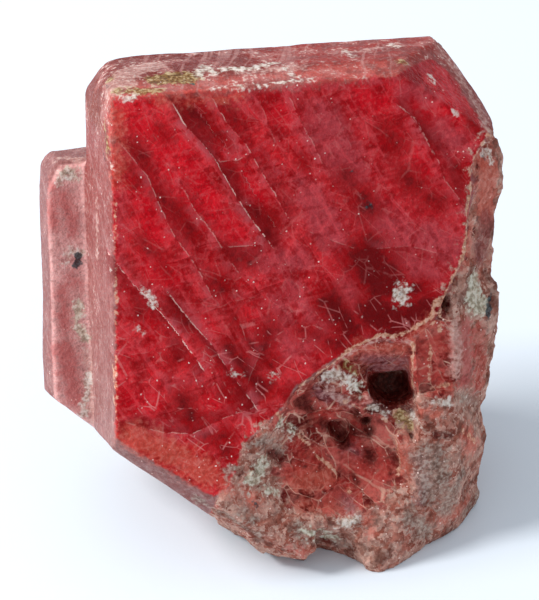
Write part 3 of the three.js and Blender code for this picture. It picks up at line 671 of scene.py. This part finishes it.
# The cleavage lattice: steep planes and flat breaks across them, each given by the way that it faces, and
# very little bent. Blocks between them differ in tone. The real ones lie closer together than the render
# can show, so the pattern is coarser.
STEEP_FACES = (0.88, 0.47, 0.3)
FLAT_FACES = (-0.14, 0.99, 0.2)
bent = displaced(size_mm=3.5, by_mm=0.8, detail=1)
steep = add("VectorMath", {0: bent, 1: STEEP_FACES}, out=1, operation="DOT_PRODUCT")
flat = add("VectorMath", {0: bent, 1: FLAT_FACES}, out=1, operation="DOT_PRODUCT")


def blocks(steep_mm, flat_mm, seed):
    """Blocks between cleavages: a number from 0 to 1 for each, and the place across and down them."""
    across = add("Math", {0: steep, 1: 1 / steep_mm, 2: seed}, **PLUS)
    row = add("Math", {0: across}, operation="FLOOR")
    offset = add("Math", {0: add("TexWhiteNoise", {1: row}, noise_dimensions="1D"), 1: 9.0}, **TIMES)
    down = add("Math", {0: flat, 1: 1 / flat_mm, 2: offset}, **PLUS)
    cell = add("CombineXYZ", {0: row, 1: add("Math", {0: down}, operation="FLOOR"), 2: seed})
    return add("TexWhiteNoise", {0: cell}, noise_dimensions="3D"), across, down


def chips(size_mm, stretch, seed):
    """Angular pieces with straight edges: a number from 0 to 1 for each and the distance to its edge."""
    way = add("CombineXYZ", {0: add("Math", {0: steep, 1: 1 / size_mm, 2: seed}, **PLUS),
                             1: add("Math", {0: flat, 1: 1 / (size_mm * stretch)}, **TIMES),
                             2: add("Math", {0: depth_in, 1: 1 / size_mm}, **TIMES)})
    tone = add("SeparateColor", {0: add("TexVoronoi", {"Vector": way, "Scale": 1.0}, out=1)})
    return tone, add("TexVoronoi", {"Vector": way, "Scale": 1.0}, feature="DISTANCE_TO_EDGE")


def streaks(steep_mm, flat_mm):
    """Unevenness drawn out along the cleavages or across them."""
    way = add("CombineXYZ", {0: add("Math", {0: steep, 1: 1 / steep_mm}, **TIMES),
                             1: add("Math", {0: flat, 1: 1 / flat_mm}, **TIMES)})
    return uneven(way, 1.0, 2, 0.5)


steep_streaks, flat_streaks = streaks(0.5, 4.0), streaks(3.0, 0.45)
large_tone, *lattice = blocks(2.3, 5.0, 0.37)
large_across, large_down = (add("Math", {0: way}, operation="FRACT") for way in lattice)
small_tone = blocks(0.95, 1.9, 0.71)[0]
wide_tone, wide_edge = chips(2.6, 1.7, 5.2)
chip_tone, chip_edge = chips(1.3, 1.5, 1.7)

# Red glassy crystal: crimson in blocks, darker where one looks deeper in, with pink veils and short pale
# flaws along the cleavages. The flaws are hair-fine in the stone and drawn wider, so that they show.
deep = roughened(read["deep"], (lumps["mottle"], 0.12), (lumps["ragged"], 0.22))
clear = roughened(read["bright"], (lumps["mottle"], 0.2))
veil = roughened(read["haze"], (lumps["ragged"], 0.25), (steep_streaks, 0.2))
lower = reach((height_up, 21.0, 15.0), most=0.8)
crackle = add("Math", {0: lower, 1: reach((lumps["mottle"], -0.6, 0.6)), 2: 0.12}, **PLUS)
red = layered(linear("#C80E1A"), [
    (lumps["broad"], 0.0, 1.2, 0.5, "#D8262C"),
    (lumps["broad"], 0.0, -1.2, 0.5, "#A4060C"),
    (side_in, 2.0, -5.0, 0.4, "#D4141E"),
    (large_tone, 0.5, 0.95, 0.6, "#8E040A"),
    (large_tone, 0.5, 0.05, 0.55, "#DC2A32"),
    (small_tone, 0.6, 0.95, 0.5, "#88050A"),
    (small_tone, 0.4, 0.05, 0.45, "#DC343A"),
    (chip_tone, 0.6, 0.95, 0.35, "#90060A"),
    (chip_tone, 0.4, 0.05, 0.3, "#DE3E42"),
    (lumps["mottle"], 0.3, 1.2, 0.35, "#DC3A40"),
    (lumps["mottle"], -0.3, -1.2, 0.5, "#8A0609"),
    (large_across, 0.2, 0.0, 0.4, "#DA4046"),
    (large_down, 0.08, 0.0, 0.35, "#DA4046"),
    (side_in, 3.0, 9.0, 0.35, "#8A0E16"),
    (clear, -0.8, 0.8, 0.6, "#D8061C"),
    (veil, -0.4, 1.2, 0.62, "#B0434A"),
    (steep_streaks, 0.5, 1.6, 0.4, "#D8464C"),
    (flat_streaks, 0.5, 1.6, 0.3, "#D84248"),
    (lumps["ragged"], 0.4, 1.4, 0.25, "#DC5256"),
    (lumps["ragged"], -0.3, -1.3, 0.4, "#7E0408"),
    (lumps["crumb"], 0.5, 1.4, 0.15, "#E46868"),
    (lumps["crumb"], -0.5, -1.4, 0.15, "#640306"),
    (deep, -0.7, 0.4, 0.68, "#90060A"),
    (deep, 0.1, 1.1, 0.75, "#540204"),
])
for edge, width, share in [(wide_edge, 0.022, 0.6), (chip_edge, 0.03, 0.5)]:
    flaw = reach((edge, width, width / 4), (roughened(lumps["mottle"], (lumps["ragged"], 0.3)), -0.3, 0.8),
                 (crackle, -0.3, 1.0), most=share)
    red = add("Mix", {0: flaw, 6: red, 7: linear("#DA807C")}, **COLOUR)

# Frosted grown faces: etched to mauve-pink with fine up and down streaks, dark towards the back of the top,
# salmon next to the red face. On the second crystal behind, the front is painted paler pink, painted light
# where the window's light misses it, and all further back is painted darker, painted shade against the light
# that falls full on its side.
on_top = reach((height_up, 32.2, 33.8))
UP_AND_DOWN = (1.6, 0.22, 1.6)
way = add("VectorMath", {0: place, 1: UP_AND_DOWN}, operation="MULTIPLY")
brushed = uneven(way, 0.6, 3, 0.55)
frost = layered(linear("#9C6E6A"), [
    (brushed, 0.2, 1.3, 0.5, "#A88480"),
    (brushed, -0.2, -1.3, 0.5, "#84524C"),
    (height_up, 10.0, 28.0, 0.85, "#964C48"),
    (height_up, 25.0, 33.0, 0.5, "#8A3C38"),
    # Painted light on the second crystal's front, which the window's light misses, and painted shade behind
    # it
    (depth_in, -8.3, -8.5, 0.95, "#E8AEA8"),
    (depth_in, -8.6, -9.0, 0.95, "#8A5855"),
])
top_colour = layered(linear("#742820"), [
    (side_in, 0.0, 8.0, 0.8, "#A03630"),
    (depth_in, -3.0, -1.2, 0.9, "#B85850"),
    (side_in, -7.0, -10.5, 0.7, "#B07668"),
    (lumps["mottle"], 0.2, 1.3, 0.35, "#B4685E"),
    (lumps["mottle"], -0.2, -1.3, 0.5, "#6A241E"),
    (steep_streaks, 0.4, 1.6, 0.35, "#C08278"),
])
frost = add("Mix", {0: on_top, 6: frost, 7: top_colour}, **COLOUR)
frost = layered(frost, [
    (lumps["broad"], 0.1, 1.3, 0.25, "#A86A66"),
    (lumps["broad"], -0.1, -1.3, 0.25, "#7C4442"),
    (steep_streaks, 0.7, 1.8, 0.25, "#C09894"),
    (lumps["mottle"], 0.2, 1.4, 0.25, "#BC8C88"),
    (lumps["mottle"], -0.2, -1.4, 0.3, "#8A4A46"),
    (lumps["ragged"], -0.4, -1.4, 0.3, "#7C4844"),
    (lumps["ragged"], 0.4, 1.4, 0.2, "#C09C96"),
    (lumps["crumb"], 0.5, 1.5, 0.2, "#CCACA4"),
    (lumps["crumb"], -0.6, -1.5, 0.25, "#643430"),
])
scuffed = roughened(on_top, (lumps["mottle"], 0.5), (lumps["broad"], 0.5))
frost = add("Mix", {0: reach((lumps["crumb"], 0.5, 1.2), (scuffed, 1.1, 1.7), most=0.6), 6: frost,
                    7: linear("#E0C0B4")}, **COLOUR)

# Broken red stone: facets of every red from nearly black to salmon, with pale fractured edges
broken = layered(linear("#9C342E"), [
    (wide_tone, 0.5, 0.7, 0.8, "#B84E46"),
    (wide_tone, 0.5, 0.3, 0.85, "#701612"),
    (chip_tone, 0.6, 0.8, 0.65, "#C8665C"),
    (chip_tone, 0.4, 0.2, 0.75, "#540C0A"),
    (lumps["mottle"], 0.2, 1.3, 0.4, "#C07468"),
    (lumps["mottle"], -0.3, -1.3, 0.6, "#4A0B09"),
    (flat_streaks, 0.4, 1.4, 0.25, "#C8705E"),
    (lumps["ragged"], 0.4, 1.4, 0.2, "#CC8270"),
    (lumps["ragged"], -0.4, -1.4, 0.4, "#420A08"),
    (lumps["crumb"], 0.5, 1.5, 0.15, "#DC9C8A"),
    (lumps["crumb"], -0.5, -1.5, 0.2, "#3A0806"),
])
for edge, width, share in [(wide_edge, 0.022, 0.7), (chip_edge, 0.035, 0.4)]:
    flaw = reach((edge, width, width / 4), (lumps["mottle"], -0.8, 0.6), most=share)
    broken = add("Mix", {0: flaw, 6: broken, 7: linear("#DCAC96")}, **COLOUR)

# Matrix: crumbled grains of pink rhodonite up to 0.8 mm across and finer sand, with grey, brown and tan
# between
PEBBLE_MM = 0.8
SAND_MM = 0.35
crumbled = displaced(size_mm=0.5, by_mm=1.1, detail=2)
pebbles = {"Vector": crumbled, "Scale": 1 / PEBBLE_MM}
pebble_tone = add("SeparateColor", {0: add("TexVoronoi", pebbles, out=1)})
pebble_gap = roughened(add("TexVoronoi", pebbles, feature="DISTANCE_TO_EDGE"), (lumps["crumb"], 0.05))
sand_tone = add("SeparateColor", {0: add("TexVoronoi", {"Vector": crumbled, "Scale": 1 / SAND_MM}, out=1)})
ground = layered(linear("#B27060"), [
    (lumps["broad"], 0.1, 1.2, 0.55, "#9C7C6C"),
    (lumps["broad"], -0.1, -1.2, 0.5, "#9C4A3C"),
    (pebble_tone, 0.5, 0.9, 0.65, "#CC9C8C"),
    (pebble_tone, 0.45, 0.15, 0.6, "#8C4434"),
    (sand_tone, 0.55, 0.9, 0.5, "#DCBAAA"),
    (sand_tone, 0.45, 0.1, 0.45, "#6C3024"),
    (lumps["mottle"], 0.3, 1.3, 0.5, "#C49A8A"),
    (lumps["mottle"], -0.3, -1.3, 0.6, "#5E3026"),
    (pebble_gap, 0.14, 0.0, 0.2, "#4C2C24"),
    (lumps["ragged"], -0.4, -1.4, 0.35, "#4C2A22"),
    (lumps["ragged"], 0.4, 1.4, 0.2, "#D0B0A0"),
])

# Where each kind of surface is, with ragged borders, and the kinds laid over the frosted crystal
skin = {}
for name, soft, rough in [("red_face", 0.12, 0.06), ("broken_corner", 0.12, 0.1), ("matrix", 0.35, 0.4)]:
    skin[name] = reach((roughened(read[name], (lumps["ragged"], rough)), -soft, soft))
colour = frost
for name, over in [("red_face", red), ("broken_corner", broken), ("matrix", ground)]:
    colour = add("Mix", {0: skin[name], 6: colour, 7: over}, **COLOUR)

# Open cleavages show as a bright line with a pink veil on one side and, on the other, painted shade in deep
# red. The limits are in mm from the line.
for number in range(CLEAVAGE_LAYERS):
    layer = read[f"cleavage_{number + 1}"]
    off = roughened(add("SeparateXYZ", {0: layer}, out=0), (lumps["ragged"], 0.03))
    away = add("Math", {0: off}, operation="ABSOLUTE")
    bright = add("SeparateXYZ", {0: layer}, out=1)
    shadow = reach((off, -1.5, 0.0), (off, 0.03, -0.03), (bright, 0.0, 0.8), most=0.55)
    pink_veil = reach((off, 1.0, 0.0), (off, -0.03, 0.03), (bright, 0.0, 0.9),
                      (lumps["ragged"], -1.6, 0.6), (lumps["mottle"], -1.6, 0.8), most=0.8)
    bright_line = reach((away, 0.06, 0.02), (bright, 0.2, 1.1), (lumps["ragged"], -0.6, 0.7))
    for share, code in [(shadow, "#780A0F"), (pink_veil, "#C8545A"), (bright_line, "#ECB8AC")]:
        colour = add("Mix", {0: share, 6: colour, 7: linear(code)}, **COLOUR)

# Stretches of another tint, then stains, crusts and grains of other minerals, and painted shade in the
# hollow at the lower right. Each has how ragged and how soft its border is, its share, its colour, and the
# colours and share of its dark and pale grains.
for name, rough, soft, share, code, dark_grain, pale_grain, grain in [
        ("mauve", 0.2, 0.4, 0.75, "#8E5254", "#643438", "#B08280", 0.5),
        ("salmon", 0.2, 0.6, 0.65, "#C85646", "#963828", "#DE8C7A", 0.3),
        ("rose", 0.2, 0.6, 0.75, "#B4524F", "#8C3836", "#C87E7A", 0.3),
        ("maroon", 0.15, 0.35, 0.6, "#84403E", "#5C2624", "#A86C68", 0.4),
        ("pink", 0.2, 0.35, 0.6, "#C89C92", "#A06A62", "#DCC0B6", 0.5),
        ("red", 0.2, 0.5, 0.5, "#B4302A", "#741612", "#CC6058", 0.4),
        ("grey", 0.25, 0.4, 0.65, "#90786C", "#5A4A42", "#B4A69A", 0.8),
        # dark: dark spots, and painted shade in the hollow at the lower right
        ("dark", 0.15, 0.3, 0.9, "#4C100C", "#260504", "#743028", 0.6),
        ("tan", 0.06, 0.07, 0.7, "#D69E80", "#96624A", "#E6C4AC", 0.6),
        ("green", 0.2, 0.25, 0.8, "#BEB49E", "#7C745E", "#E0DCCC", 0.7),
        ("olive", 0.16, 0.25, 0.8, "#84683A", "#4A381C", "#BCA67C", 0.8),
        ("white", 0.18, 0.26, 0.8, "#CEBFB2", "#98806E", "#EAE0D6", 0.8),
        ("black", 0.1, 0.12, 0.92, "#26282C", "#101114", "#586064", 0.5)]:
    patch = roughened(read[name], (lumps["crumb"], rough * 0.6), (lumps["ragged"], rough))
    tint = layered(linear(code), [(lumps["crumb"], -0.1, -1.1, grain, dark_grain),
                                  (lumps["crumb"], 0.1, 1.1, grain, pale_grain)])
    colour = add("Mix", {0: reach((patch, -soft, soft), most=share), 6: colour, 7: tint}, **COLOUR)

# What faces the ground is painted darker grey: partly dirt, partly painted shade of the underside
turned_down = roughened(read["underside"], (lumps["ragged"], 0.06))
underside_shade_and_dirt = reach((turned_down, 0.5, 0.8), (depth_in, -2.0, -4.5), most=0.7)
colour = add("Mix", {0: underside_shade_and_dirt, 6: colour, 7: linear("#5C5248")}, **COLOUR)

# Tiny flaws that catch the light, drawn as pale spots: painted glints, in swarms, most of all in the lower
# part. The real ones are too fine to show, so they are drawn about a tenth of a millimetre across.
SPECK_APART_MM = 0.4
specks = {"Vector": place, "Scale": 1 / SPECK_APART_MM}
speck_far = roughened(add("TexVoronoi", specks), (lumps["dust"], 0.03))
speck_share = add("SeparateColor", {0: add("TexVoronoi", specks, out=1)})
swarm = roughened(lumps["mottle"], (lower, 1.0))
painted_glint = reach((speck_far, 0.18, 0.08), (speck_share, 0.5, 0.95), (swarm, -0.4, 1.0))
colour = add("Mix", {0: painted_glint, 6: colour, 7: linear("#F0D0C6")}, **COLOUR)

# Etched and grainy at a scale too fine for the mesh, and coarser in the matrix
BUMP_M = 0.00002
pebble_height = add("Math", {0: reach((pebble_gap, 0.0, 0.25)), 1: skin["matrix"]}, **TIMES)
height = roughened(lumps["crumb"], (lumps["dust"], 0.3), (pebble_height, 1.0))
bump = add("Bump", {"Height": height, "Strength": 0.5, "Distance": BUMP_M})

# Smoothest where it is red, duller on the grown faces, dullest in the matrix. The index is rhodonite's own.
# Its highlight is held back, because cracks and etching scatter it, and a little light enters the stone.
FROST_ROUGHNESS = 0.5
ROUGHNESS_STEP = 0.05
LIGHT_DEPTH_M = 0.0003
dullness = roughened(lumps["ragged"], (skin["red_face"], -3.0), (skin["matrix"], 4.0))
dullness = add("Math", {0: dullness, 1: ROUGHNESS_STEP, 2: FROST_ROUGHNESS}, **PLUS)
shader = add("BsdfPrincipled", {"Base Color": colour, "Roughness": dullness, "IOR": 1.73, "Normal": bump,
                                "Specular IOR Level": 0.03, "Subsurface Weight": 0.08,
                                "Subsurface Radius": (1.0, 0.2, 0.15), "Subsurface Scale": LIGHT_DEPTH_M})
add("OutputMaterial", {"Surface": shader})
stone_mesh.materials.clear()
stone_mesh.materials.append(stone_material)

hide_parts("rhodonite")
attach(stone, "root")

# The floor
# A large sheet of plain white paper, matt and faintly blue in the daylight. It is laid under the stone and
# isn't part of it.
FLOOR_HALF_M = 3
floor_mesh = bpy.data.meshes.new("floor")
floor_corners = [(across * FLOOR_HALF_M, back * FLOOR_HALF_M, 0)
                 for across, back in [(-1, -1), (1, -1), (1, 1), (-1, 1)]]
floor_mesh.from_pydata(floor_corners, [], [(0, 1, 2, 3)])
floor = bpy.data.objects.new("floor", floor_mesh)
bpy.context.scene.collection.objects.link(floor)
floor_material = bpy.data.materials.new("white_paper")
floor_material.use_nodes = True
paper = floor_material.node_tree.nodes["Principled BSDF"]
paper.inputs["Base Color"].default_value = linear("#E4EBF2")
paper.inputs["Roughness"].default_value = 0.9
paper.inputs["Specular IOR Level"].default_value = 0.1
floor_mesh.materials.append(floor_material)

# The light
# Soft daylight from the left, as from a window, and a pale room around that fills the shadows
ROOM_STRENGTH = 0.8
world = bpy.data.worlds.new("room")
bpy.context.scene.world = world
world.use_nodes = True
world.node_tree.nodes["Background"].inputs["Color"].default_value = linear("#E6EEF6")
world.node_tree.nodes["Background"].inputs["Strength"].default_value = ROOM_STRENGTH
KEY_FROM = Vector((-0.72, 0.14, 0.675))
KEY_MM = 500
KEY_AT_MM = Vector((0, 0, 15))
KEY_WIDE_M = 0.19
KEY_WATTS = 2.5
key_light = bpy.data.lights.new("window", "AREA")
key_light.shape = "DISK"
key_light.size = KEY_WIDE_M
key_light.energy = KEY_WATTS
key = bpy.data.objects.new("window", key_light)
key.location = (KEY_AT_MM + KEY_FROM.normalized() * KEY_MM) / 1000
key.rotation_mode = "QUATERNION"
key.rotation_quaternion = KEY_FROM.to_track_quat("Z", "Y")
bpy.context.scene.collection.objects.link(key)

bpy.context.scene.view_settings.view_transform = "Standard"
